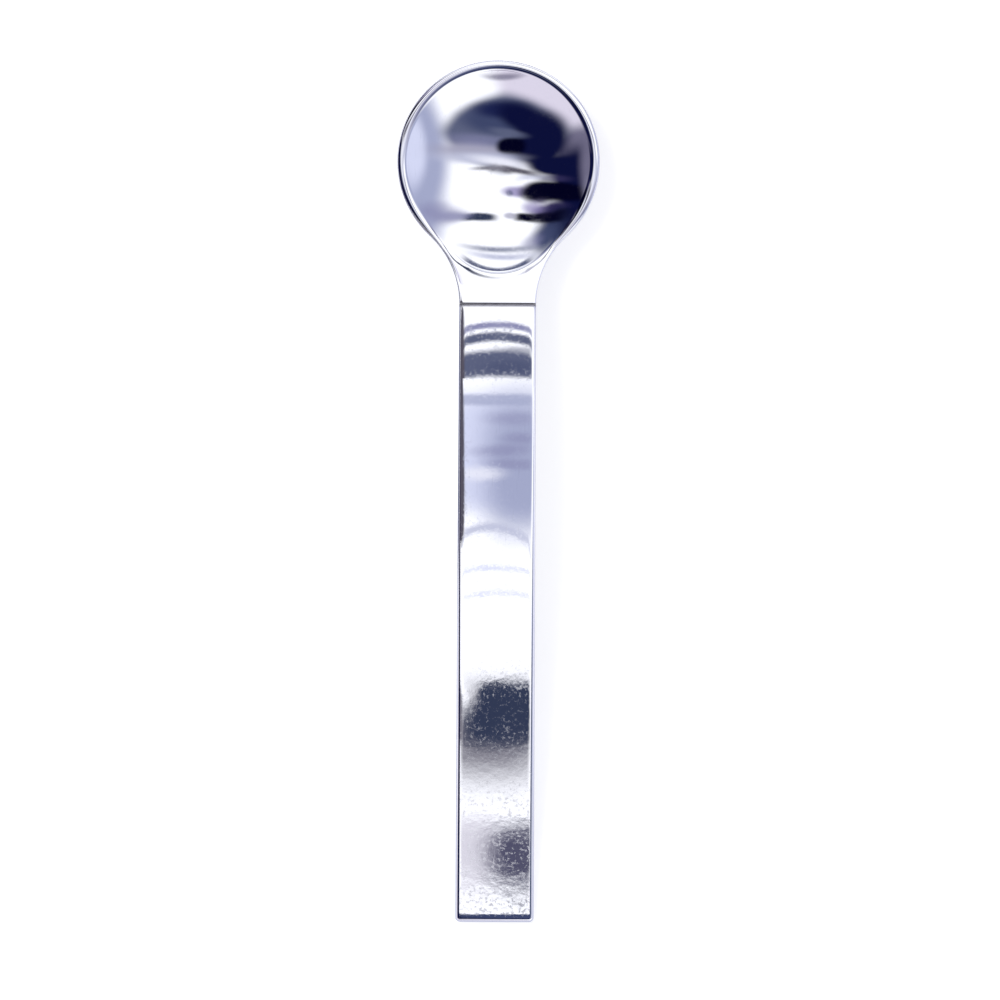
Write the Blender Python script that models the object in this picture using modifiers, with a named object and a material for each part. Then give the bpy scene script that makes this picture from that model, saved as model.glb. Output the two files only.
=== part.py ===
"""Teaspoon: a pressed bowl and a strip handle, lapped and brazed at the neck.

The spoon lies bowl up along Y, with the bowl's tip at +Y and the tail at -Y.
It rests on Z = 0 on the flat under its bowl and on the tail's lower edge.
The origin is under the middle of the spoon. Lengths are in metres.
"""

import math

import bmesh
import bpy

# Overall layout, along Y
SPOON_LENGTH = 0.140
BOWL_TO_SHOULDER = 0.0233

# Bowl: a round dish with a heel that reaches into the neck
BOWL_RADIUS = 0.0164
RIM_LAND = 0.0011
DISH_DEPTH = 0.0073
DISH_WALL_ANGLE = math.radians(56.0)
HEEL_RADIUS = 0.0099
HEEL_REACH = 0.0188
FLOOR_THICKNESS = 0.0014
SHEET_THICKNESS = 0.00125
RIM_EDGE = 0.0008
FOOT_RADIUS = 0.0028
BACK_FILLET = 0.0008

# Neck: rises from the rim to the handle's shoulder
NECK_RISE = math.radians(15.0)
NECK_BEND_RADIUS = 0.0212
NECK_BEND_START = 0.0105

# Handle: a strip that arches down to the table
HANDLE_FRONT_WIDTH = 0.0124
HANDLE_TAIL_WIDTH = 0.01275
HANDLE_TAIL_THICKNESS = 0.0020
HANDLE_CROWN = 0.0001
SHOULDER_STEP = 0.0005
TAIL_SLOPE = math.radians(-10.0)

# Lap joint: the handle's tongue under the neck, and the filler between them
TONGUE_LENGTH = 0.0105
TONGUE_ROOT_THICKNESS = 0.00095
TONGUE_TIP_THICKNESS = 0.00045
TONGUE_EDGE_SHARE = 0.55
SEAM_GAP = 0.0003
FILLER_CLEARANCE = 0.00005
FILLER_BEAD_INSET = 0.00006
FILLER_BEAD_RISE = 0.00012

# Rounded edges
RIM_ROUNDING = 0.00028
DISH_EDGE_ROUNDING = 0.00022
STRIP_ROUNDING = 0.0004
TONGUE_ROUNDING = 0.00012

# Facets
TIP_ARC_STEPS = 36
FILLET_STEPS = 10
NECK_END_STEPS = 5
DISH_RINGS = 11
DISH_CENTRE_SHARE = 0.05
BACK_RINGS = 8
LAND_RINGS = 2
STRIP_COLUMNS = 10
HANDLE_STATIONS = 54
HANDLE_STATION_GROWTH = 1.3
TONGUE_STATIONS = 22
ROUNDING_STEPS = 2
SLOPE_SAMPLE = 0.0004
BACK_END_SHARE = 1.15

# Derived places
TIP_Y = SPOON_LENGTH / 2
TAIL_Y = -SPOON_LENGTH / 2
BOWL_Y = TIP_Y - BOWL_RADIUS
SHOULDER_Y = BOWL_Y - BOWL_TO_SHOULDER
NECK_END_Y = SHOULDER_Y + SEAM_GAP
RIM_Z = FLOOR_THICKNESS + DISH_DEPTH
DISH_RADIUS = BOWL_RADIUS - RIM_LAND
NECK_HALF_WIDTH = HANDLE_FRONT_WIDTH / 2
FRONT_THICKNESS = SHOULDER_STEP + SHEET_THICKNESS + SEAM_GAP + TONGUE_ROOT_THICKNESS
TONGUE_TIP_Y = SHOULDER_Y + TONGUE_LENGTH

# The neck fillet touches the bowl's circle and, at the shoulder, the handle's side
FILLET_RADIUS = ((NECK_HALF_WIDTH ** 2 + BOWL_TO_SHOULDER ** 2 - BOWL_RADIUS ** 2)
                 / (2 * (BOWL_RADIUS - NECK_HALF_WIDTH)))
FILLET_X = NECK_HALF_WIDTH + FILLET_RADIUS
FILLET_DISTANCE = BOWL_RADIUS + FILLET_RADIUS
FILLET_ANGLE = math.atan2(FILLET_X, BOWL_TO_SHOULDER)

# The dish's outline is the hull of its circle and the heel's smaller circle
HEEL_OFFSET = HEEL_REACH - HEEL_RADIUS
HULL_SINE = (DISH_RADIUS - HEEL_RADIUS) / HEEL_OFFSET
HULL_COSINE = math.sqrt(1 - HULL_SINE ** 2)
HULL_DISH_ANGLE = math.atan2(HULL_COSINE, HULL_SINE)
HULL_HEEL_ANGLE = math.atan2(HEEL_RADIUS * HULL_COSINE, HEEL_OFFSET + HEEL_RADIUS * HULL_SINE)


def clear_scene():
    """Remove what the scene holds."""
    for obj in list(bpy.data.objects):
        bpy.data.objects.remove(obj, do_unlink=True)


def make_collection(name):
    """Return a new collection linked to the scene."""
    collection = bpy.data.collections.new(name)
    bpy.context.scene.collection.children.link(collection)
    return collection


def make_material(name, colour, roughness):
    """Return a metal with the given colour and roughness."""
    material = bpy.data.materials.new(name)
    material.use_nodes = True
    shader = material.node_tree.nodes["Principled BSDF"]
    shader.inputs["Base Color"].default_value = (*colour, 1.0)
    shader.inputs["Metallic"].default_value = 1.0
    shader.inputs["Roughness"].default_value = roughness
    return material


def finish_object(bm, name, material, collection):
    """Turn a bmesh into a named object with its material."""
    bmesh.ops.recalc_face_normals(bm, faces=bm.faces)
    mesh = bpy.data.meshes.new(name)
    bm.to_mesh(mesh)
    bm.free()
    mesh.materials.append(material)
    mesh.shade_smooth()
    mesh.set_sharp_from_angle(angle=math.radians(35))
    obj = bpy.data.objects.new(name, mesh)
    collection.objects.link(obj)
    return obj


def round_marked_edges(obj, width):
    """Round the edges that carry a bevel weight; a weight of 1 gives the full width."""
    bevel = obj.modifiers.new("Rounded edges", "BEVEL")
    bevel.limit_method = "WEIGHT"
    bevel.width = width
    bevel.segments = ROUNDING_STEPS
    bevel.use_clamp_overlap = False


def mark_path(weights, verts, weight, closed=False):
    """Give the edges along a path of vertices a bevel weight."""
    followers = verts[1:] + verts[:1] if closed else verts[1:]
    for first, second in zip(verts, followers):
        edge = next(e for e in first.link_edges if e.other_vert(first) is second)
        edge[weights] = weight


def add_row(bm, points):
    """Add one row of vertices."""
    return [bm.verts.new(point) for point in points]


def skin_rows(bm, first, second, closed=True):
    """Join two rows of equal length with four-sided faces."""
    count = len(first)
    for i in range(count if closed else count - 1):
        j = (i + 1) % count
        bm.faces.new((first[i], first[j], second[j], second[i]))


def hermite(start, start_slope, end, end_slope, run, share):
    """Return the height at a share of a smooth curve with given ends and end slopes."""
    square = share * share
    cube = square * share
    return (start * (2 * cube - 3 * square + 1)
            + start_slope * run * (cube - 2 * square + share)
            + end * (3 * square - 2 * cube)
            + end_slope * run * (cube - square))


def smooth_step(share):
    """Return a share from 0 to 1 with level ends."""
    share = min(max(share, 0.0), 1.0)
    return share * share * (3 - 2 * share)


def land_height(y):
    """Height of the rim land and of the neck's top face."""
    back = BOWL_Y - NECK_BEND_START - y
    if back <= 0:
        return RIM_Z
    bend_run = NECK_BEND_RADIUS * math.sin(NECK_RISE)
    if back < bend_run:
        return RIM_Z + NECK_BEND_RADIUS - math.sqrt(NECK_BEND_RADIUS ** 2 - back ** 2)
    bend_rise = NECK_BEND_RADIUS * (1 - math.cos(NECK_RISE))
    return RIM_Z + bend_rise + (back - bend_run) * math.tan(NECK_RISE)


def neck_share(y):
    """Share of the way from the round rim, 0, to the straight neck, 1."""
    bend_run = NECK_BEND_RADIUS * math.sin(NECK_RISE)
    return smooth_step((BOWL_Y - NECK_BEND_START - y) / bend_run)


def outline_radius(angle):
    """Distance from the bowl's centre to the outline; angle 0 points at the handle."""
    if angle >= FILLET_ANGLE:
        return BOWL_RADIUS
    across = FILLET_DISTANCE * math.sin(FILLET_ANGLE - angle)
    end_radius = (BOWL_Y - NECK_END_Y) / math.cos(angle)
    if across >= FILLET_RADIUS:
        return end_radius
    along = FILLET_DISTANCE * math.cos(FILLET_ANGLE - angle)
    return min(end_radius, along - math.sqrt(FILLET_RADIUS ** 2 - across ** 2))


def dish_radius(angle):
    """Distance from the bowl's centre to the dish's edge at an angle from the handle."""
    if angle >= HULL_DISH_ANGLE:
        return DISH_RADIUS
    if angle >= HULL_HEEL_ANGLE:
        return DISH_RADIUS / (HULL_COSINE * math.sin(angle) + HULL_SINE * math.cos(angle))
    across = HEEL_OFFSET * math.sin(angle)
    return HEEL_OFFSET * math.cos(angle) + math.sqrt(HEEL_RADIUS ** 2 - across ** 2)


def back_radius(angle):
    """Distance from the bowl's centre to where its round back meets the rim or neck."""
    land = min(outline_radius(angle) - dish_radius(angle), RIM_LAND)
    return dish_radius(angle) + land / 2


def cap_share(share):
    """Height share of a round cap at a share of its radius."""
    sine = math.sin(DISH_WALL_ANGLE)
    return (1 - math.sqrt(1 - (share * sine) ** 2)) / (1 - math.cos(DISH_WALL_ANGLE))


def cap_shares(first, count):
    """Radius shares of rings that are evenly spaced round the cap's curve."""
    sine = math.sin(DISH_WALL_ANGLE)
    start = math.asin(first * sine)
    step = (DISH_WALL_ANGLE - start) / count
    return [math.sin(start + step * i) / sine for i in range(count + 1)]


def smooth_minimum(first, second, blend):
    """Return the smaller value, with a rounded change from one to the other."""
    share = min(max(0.5 + 0.5 * (second - first) / blend, 0.0), 1.0)
    return second + (first - second) * share - blend * share * (1 - share)


def back_height(x, y):
    """Height of the underside: the round back, filleted into the underside of rim and neck."""
    angle = math.atan2(abs(x), BOWL_Y - y)
    reach = back_radius(angle)
    share = min(math.hypot(x, BOWL_Y - y) / reach, BACK_END_SHARE)
    edge = land_height(BOWL_Y - reach * math.cos(angle)) - SHEET_THICKNESS
    foot = cap_share(FOOT_RADIUS / reach)
    back = edge * max(0.0, (cap_share(share) - foot) / (1 - foot))
    return smooth_minimum(back, land_height(y) - SHEET_THICKNESS, BACK_FILLET)


def below_back(x, y, gap):
    """Height of a surface that keeps a gap to the underside, measured square to it."""
    slope_x = (back_height(x + SLOPE_SAMPLE, y) - back_height(x - SLOPE_SAMPLE, y)) / (2 * SLOPE_SAMPLE)
    slope_y = (back_height(x, y + SLOPE_SAMPLE) - back_height(x, y - SLOPE_SAMPLE)) / (2 * SLOPE_SAMPLE)
    return back_height(x, y) - gap * math.sqrt(1 + slope_x ** 2 + slope_y ** 2)


def bowl_angles():
    """Angles of the bowl's columns from the tip to the handle, on the +X side."""
    sweep = math.pi - FILLET_ANGLE
    angles = [math.pi - sweep * i / TIP_ARC_STEPS for i in range(TIP_ARC_STEPS + 1)]
    fillet_end = math.asin((NECK_END_Y - SHOULDER_Y) / FILLET_RADIUS)
    fillet_start = math.pi / 2 - FILLET_ANGLE
    for i in range(1, FILLET_STEPS + 1):
        turn = fillet_start + (fillet_end - fillet_start) * i / FILLET_STEPS
        x = FILLET_X - FILLET_RADIUS * math.cos(turn)
        y = SHOULDER_Y + FILLET_RADIUS * math.sin(turn)
        angles.append(math.atan2(x, BOWL_Y - y))
    corner = (BOWL_Y - NECK_END_Y) * math.tan(angles[-1])
    for i in range(1, NECK_END_STEPS + 1):
        angles.append(math.atan2(corner * (1 - i / NECK_END_STEPS), BOWL_Y - NECK_END_Y))
    return angles


def bowl_columns():
    """Side, +1 or -1, and angle of each column, once round the bowl from its tip."""
    angles = bowl_angles()
    return [(1, a) for a in angles] + [(-1, a) for a in reversed(angles[1:-1])]


def ring(columns, place_at):
    """Points of one ring round the bowl; place_at gives a column's radius and height."""
    points = []
    for side, angle in columns:
        radius, height = place_at(angle)
        points.append((side * radius * math.sin(angle), BOWL_Y - radius * math.cos(angle), height))
    return points


def dish_place(angle, share):
    """Radius and height inside the dish at a share of the way from its centre to its edge."""
    edge = dish_radius(angle)
    rise = land_height(BOWL_Y - edge * math.cos(angle)) - FLOOR_THICKNESS
    return share * edge, FLOOR_THICKNESS + rise * cap_share(share)


def land_place(angle, share):
    """Radius and height on the rim land and neck at a share of the way to the outline."""
    radius = (1 - share) * dish_radius(angle) + share * outline_radius(angle)
    return radius, land_height(BOWL_Y - radius * math.cos(angle))


def edge_rise(angle):
    """How much thinner the rim's edge is than the sheet; the neck's edge is as thick."""
    y = BOWL_Y - outline_radius(angle) * math.cos(angle)
    return (SHEET_THICKNESS - RIM_EDGE) * (1 - neck_share(y))


def edge_place(angle):
    """Radius and height of the lower corner of the rim's edge, or of the neck's."""
    radius = outline_radius(angle)
    return radius, land_height(BOWL_Y - radius * math.cos(angle)) - SHEET_THICKNESS + edge_rise(angle)


def under_place(angle):
    """Radius and height just outside the round back, under the rim or the neck."""
    land = outline_radius(angle) - back_radius(angle)
    step = min(land / 2, BACK_FILLET)
    radius = back_radius(angle) + step
    height = back_height(radius * math.sin(angle), BOWL_Y - radius * math.cos(angle))
    return radius, height + edge_rise(angle) * step / land


def back_place(angle, share):
    """Radius and height on the bowl's back at a share of the way from its centre to its edge."""
    radius = share * back_radius(angle)
    return radius, back_height(radius * math.sin(angle), BOWL_Y - radius * math.cos(angle))


def build_bowl(material, collection):
    """Loft the bowl from the dish's floor over the rim and back to the foot."""
    columns = bowl_columns()
    bm = bmesh.new()
    weights = bm.edges.layers.float.new("bevel_weight_edge")
    rows = []
    for share in cap_shares(DISH_CENTRE_SHARE, DISH_RINGS):
        rows.append(add_row(bm, ring(columns, lambda a: dish_place(a, share))))
    dish_edge = rows[-1]
    for i in range(1, LAND_RINGS + 1):
        share = i / LAND_RINGS
        rows.append(add_row(bm, ring(columns, lambda a: land_place(a, share))))
    rim_top = rows[-1]
    rim_bottom = add_row(bm, ring(columns, edge_place))
    rows.append(rim_bottom)
    rows.append(add_row(bm, ring(columns, under_place)))
    for share in reversed(cap_shares(FOOT_RADIUS / BOWL_RADIUS, BACK_RINGS)[1:]):
        rows.append(add_row(bm, ring(columns, lambda a: back_place(a, share))))
    rows.append(add_row(bm, ring(columns, lambda a: (FOOT_RADIUS, 0.0))))
    for first, second in zip(rows, rows[1:]):
        skin_rows(bm, first, second)
    bm.faces.new(rows[0])
    bm.faces.new(rows[-1])
    corner = TIP_ARC_STEPS + FILLET_STEPS
    side_part = list(range(len(columns) - corner, len(columns))) + list(range(corner + 1))
    widest = max(RIM_ROUNDING, DISH_EDGE_ROUNDING)
    mark_path(weights, [rim_top[i] for i in side_part], RIM_ROUNDING / widest)
    mark_path(weights, [rim_bottom[i] for i in side_part], RIM_ROUNDING / widest)
    mark_path(weights, dish_edge, DISH_EDGE_ROUNDING / widest, closed=True)
    obj = finish_object(bm, "bowl", material, collection)
    round_marked_edges(obj, widest)
    return obj


def handle_top(y):
    """Height of the handle's top along its middle."""
    share = (SHOULDER_Y - y) / (SHOULDER_Y - TAIL_Y)
    return hermite(land_height(SHOULDER_Y) + SHOULDER_STEP, math.tan(NECK_RISE),
                   HANDLE_TAIL_THICKNESS, math.tan(TAIL_SLOPE), SHOULDER_Y - TAIL_Y, share)


def handle_bottom(y):
    """Height of the handle's underside."""
    share = (SHOULDER_Y - y) / (SHOULDER_Y - TAIL_Y)
    return handle_top(y) - (FRONT_THICKNESS + (HANDLE_TAIL_THICKNESS - FRONT_THICKNESS) * share)


def handle_half_width(y):
    """Half the handle's width, which grows evenly to the tail."""
    share = (SHOULDER_Y - y) / (SHOULDER_Y - TAIL_Y)
    return (HANDLE_FRONT_WIDTH + (HANDLE_TAIL_WIDTH - HANDLE_FRONT_WIDTH) * share) / 2


def tongue_half_width(y):
    """Half the tongue's width, an ellipse's end that starts as wide as the handle."""
    return NECK_HALF_WIDTH * math.sqrt(max(0.0, 1 - ((y - SHOULDER_Y) / TONGUE_LENGTH) ** 2))


def tongue_middle_bottom(y):
    """Height of the tongue's underside in the middle: a smooth heel down to the tip."""
    tip_slope = (back_height(0, TONGUE_TIP_Y + SLOPE_SAMPLE) - back_height(0, TONGUE_TIP_Y)) / SLOPE_SAMPLE
    heel = hermite(handle_bottom(SHOULDER_Y), -math.tan(NECK_RISE),
                   below_back(0, TONGUE_TIP_Y, SEAM_GAP + TONGUE_TIP_THICKNESS), tip_slope,
                   TONGUE_LENGTH, (y - SHOULDER_Y) / TONGUE_LENGTH)
    return min(heel, below_back(0, y, SEAM_GAP + TONGUE_TIP_THICKNESS))


def column_shares():
    """Shares across a strip, from -1 to 1."""
    return [2 * i / STRIP_COLUMNS - 1 for i in range(STRIP_COLUMNS + 1)]


def tongue_stations():
    """Y of the tongue's sections from just short of the tip to the shoulder, closer at the tip."""
    return [SHOULDER_Y + TONGUE_LENGTH * math.cos(math.pi / 2 * i / TONGUE_STATIONS)
            for i in range(1, TONGUE_STATIONS)] + [SHOULDER_Y]


def tongue_rows(y):
    """Top and bottom points of the tongue's section at y."""
    half = tongue_half_width(y)
    thickness = below_back(0, y, SEAM_GAP) - tongue_middle_bottom(y)
    thinning = (1 - TONGUE_EDGE_SHARE) * smooth_step((y - SHOULDER_Y) / (TONGUE_LENGTH / 2))
    top = [(c * half, y, below_back(c * half, y, SEAM_GAP)) for c in column_shares()]
    bottom = [(x, y, z - thickness * (1 - thinning * c * c))
              for (x, _, z), c in zip(top, column_shares())]
    return top, bottom


def build_handle(material, collection):
    """Loft the strip from its shoulder to the tail, and the tongue forward from the shoulder."""
    bm = bmesh.new()
    weights = bm.edges.layers.float.new("bevel_weight_edge")
    shares = column_shares()
    tops, bottoms, lefts, rights = [], [], [], []
    for i in range(HANDLE_STATIONS + 1):
        y = SHOULDER_Y + (TAIL_Y - SHOULDER_Y) * (i / HANDLE_STATIONS) ** HANDLE_STATION_GROWTH
        half = handle_half_width(y)
        top, bottom = handle_top(y), handle_bottom(y)
        lap = bottom + (top - bottom) * TONGUE_ROOT_THICKNESS / FRONT_THICKNESS
        tops.append(add_row(bm, [(c * half, y, top - HANDLE_CROWN * c * c) for c in shares]))
        bottoms.append(add_row(bm, [(c * half, y, bottom) for c in shares]))
        lefts.append(bm.verts.new((-half, y, lap)))
        rights.append(bm.verts.new((half, y, lap)))
    loops = [t + [r] + b[::-1] + [l] for t, r, b, l in zip(tops, rights, bottoms, lefts)]
    for first, second in zip(loops, loops[1:]):
        skin_rows(bm, first, second)
    bm.faces.new(loops[-1])

    tongue_tops, tongue_bottoms = [], []
    for y in tongue_stations()[:-1]:
        top, bottom = tongue_rows(y)
        tongue_tops.append(add_row(bm, top))
        tongue_bottoms.append(add_row(bm, bottom))
    root = [(c * NECK_HALF_WIDTH, SHOULDER_Y, lefts[0].co.z) for c in shares]
    tongue_tops.append([lefts[0]] + add_row(bm, root[1:-1]) + [rights[0]])
    tongue_bottoms.append(bottoms[0])
    loops = [t + b[::-1] for t, b in zip(tongue_tops, tongue_bottoms)]
    for first, second in zip(loops, loops[1:]):
        skin_rows(bm, first, second)
    bm.faces.new(loops[0])
    skin_rows(bm, tongue_tops[-1], tops[0], closed=False)

    for column, side in ((0, lefts), (-1, rights)):
        mark_path(weights, [row[column] for row in tops], 1.0)
        mark_path(weights, [row[column] for row in bottoms], 1.0)
        mark_path(weights, [row[column] for row in tongue_bottoms], TONGUE_ROUNDING / STRIP_ROUNDING)
        mark_path(weights, [tops[-1][column], side[-1], bottoms[-1][column]], 1.0)
    for row in (tops[0], tops[-1], bottoms[-1]):
        mark_path(weights, row, 1.0)
    obj = finish_object(bm, "handle", material, collection)
    round_marked_edges(obj, STRIP_ROUNDING)
    return obj


def build_seam_bead(material, collection):
    """Make the upright leg of the filler, in the butt line between neck end and shoulder.

    It stands a little in from the film's sides and back, so that the two join cleanly.
    """
    low_y = SHOULDER_Y + FILLER_CLEARANCE
    high_y = NECK_END_Y - FILLER_CLEARANCE
    half = NECK_HALF_WIDTH - FILLER_CLEARANCE - FILLER_BEAD_INSET
    bottom = land_height(SHOULDER_Y) - SHEET_THICKNESS - SEAM_GAP / 2
    bm = bmesh.new()
    front = land_height(high_y) - FILLER_BEAD_RISE
    back = land_height(low_y) + FILLER_BEAD_RISE
    section = [(low_y, bottom), (high_y, bottom), (high_y, front), (low_y, back)]
    rows = [add_row(bm, [(x, y, z) for y, z in section]) for x in (-half, half)]
    skin_rows(bm, rows[0], rows[1])
    for row in rows:
        bm.faces.new(row)
    obj = finish_object(bm, "seam_bead_guide", material, collection)
    obj.hide_render = True
    obj.display_type = "WIRE"
    return obj


def build_braze(material, collection, cutters):
    """Make the filler: a film along the tongue and a bead up the butt line."""
    bm = bmesh.new()
    loops = []
    stations = tongue_stations()
    back_y = SHOULDER_Y + FILLER_CLEARANCE + FILLER_BEAD_INSET
    for y in stations[1:-1] + [back_y]:
        half = tongue_half_width(y) - FILLER_CLEARANCE
        places = [c * half for c in column_shares()]
        top = [(x, y, below_back(x, y, FILLER_CLEARANCE)) for x in places]
        bottom = [(x, y, below_back(x, y, SEAM_GAP - FILLER_CLEARANCE)) for x in places]
        loops.append(add_row(bm, bottom + top[::-1]))
    for first, second in zip(loops, loops[1:]):
        skin_rows(bm, first, second)
    bm.faces.new(loops[0])
    bm.faces.new(loops[-1])
    obj = finish_object(bm, "braze_seam", material, collection)
    union = obj.modifiers.new("Bead", "BOOLEAN")
    union.operation = "UNION"
    union.object = build_seam_bead(material, cutters)
    return obj


def main():
    clear_scene()
    parts = make_collection("teaspoon")
    cutters = make_collection("cutters")
    steel = (0.80, 0.81, 0.86)
    build_bowl(make_material("bowl_steel", steel, 0.08), parts)
    build_handle(make_material("handle_steel", steel, 0.10), parts)
    build_braze(make_material("braze", (0.72, 0.71, 0.70), 0.25), parts, cutters)


main()
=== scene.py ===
"""Polished steel teaspoon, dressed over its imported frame.

The spoon lies bowl up along Y, with the bowl's tip at +Y and the tail at -Y, and rests on Z = 0.
Lengths are in metres. Each visible piece is modelled again in fine, smooth form over its CAD node,
because a mirror finish shows every facet.
"""

import logging
import math
from collections.abc import Callable, Iterator, Sequence
from contextlib import contextmanager
from dataclasses import dataclass, replace
from enum import Enum

import bpy
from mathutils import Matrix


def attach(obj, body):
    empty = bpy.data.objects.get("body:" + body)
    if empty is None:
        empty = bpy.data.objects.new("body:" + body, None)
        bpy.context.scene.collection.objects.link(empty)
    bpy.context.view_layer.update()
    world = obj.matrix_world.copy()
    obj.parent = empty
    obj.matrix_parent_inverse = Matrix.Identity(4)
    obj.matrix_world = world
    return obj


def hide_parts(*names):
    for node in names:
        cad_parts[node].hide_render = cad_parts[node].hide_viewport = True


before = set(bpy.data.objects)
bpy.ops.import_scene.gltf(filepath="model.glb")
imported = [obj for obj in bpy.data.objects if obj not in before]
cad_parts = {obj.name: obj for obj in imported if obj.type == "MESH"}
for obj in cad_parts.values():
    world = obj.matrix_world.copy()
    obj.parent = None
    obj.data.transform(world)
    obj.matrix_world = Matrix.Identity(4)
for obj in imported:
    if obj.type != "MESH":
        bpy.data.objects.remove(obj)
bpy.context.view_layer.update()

LOG = logging.getLogger("teaspoon")
ROOT_BODY = "root"
WELD_LENGTH = 2e-7
JOINT_WELD_LENGTH = 1e-6
MM_PER_METRE = 1000
GRAIN_HEIGHT = 0.5
SCRATCH_DEPTH = 0.05

Point = tuple[float, float, float]
Plan = tuple[float, float]
Colour = tuple[float, float, float]
Ring = list[Point]
Surface = Callable[[float, float], float]
Socket = bpy.types.NodeSocket


class Slot(Enum):
    """The record's material slots."""

    BOWL = "bowl_steel"
    HANDLE = "handle_steel"
    BRAZE = "braze"


def smooth_step(share: float) -> float:
    """Return a share from 0 to 1 with level ends."""
    share = min(max(share, 0.0), 1.0)
    return share * share * (3 - 2 * share)


def smooth_minimum(first: float, second: float, blend: float) -> float:
    """Return the smaller height, rounded where the two differ by less than blend."""
    share = min(max(0.5 + 0.5 * (second - first) / blend, 0.0), 1.0)
    return second + (first - second) * share - blend * share * (1 - share)


def hermite(start: tuple[float, float], end: tuple[float, float], run: float, share: float) -> float:
    """Return the height at a share of a smooth curve between two ends.

    Args:
        start: Height and slope at share 0.
        end: Height and slope at share 1.
        run: Length that the curve spans.
        share: Place on the curve, from 0 to 1.

    Returns:
        The height there.
    """
    square = share * share
    cube = square * share
    return (start[0] * (2 * cube - 3 * square + 1)
            + start[1] * run * (cube - 2 * square + share)
            + end[0] * (3 * square - 2 * cube)
            + end[1] * run * (cube - square))


def spread(first: float, last: float, steps: int) -> list[float]:
    """Return evenly spaced numbers, both ends included."""
    return [first + (last - first) * i / steps for i in range(steps + 1)]


def quarter_turn(steps: int) -> list[Plan]:
    """Return (1 - sine, 1 - cosine) round a quarter turn, from 0 to 90 degrees."""
    return [(1 - math.sin(turn), 1 - math.cos(turn)) for turn in spread(0.0, math.pi / 2, steps)]


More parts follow.
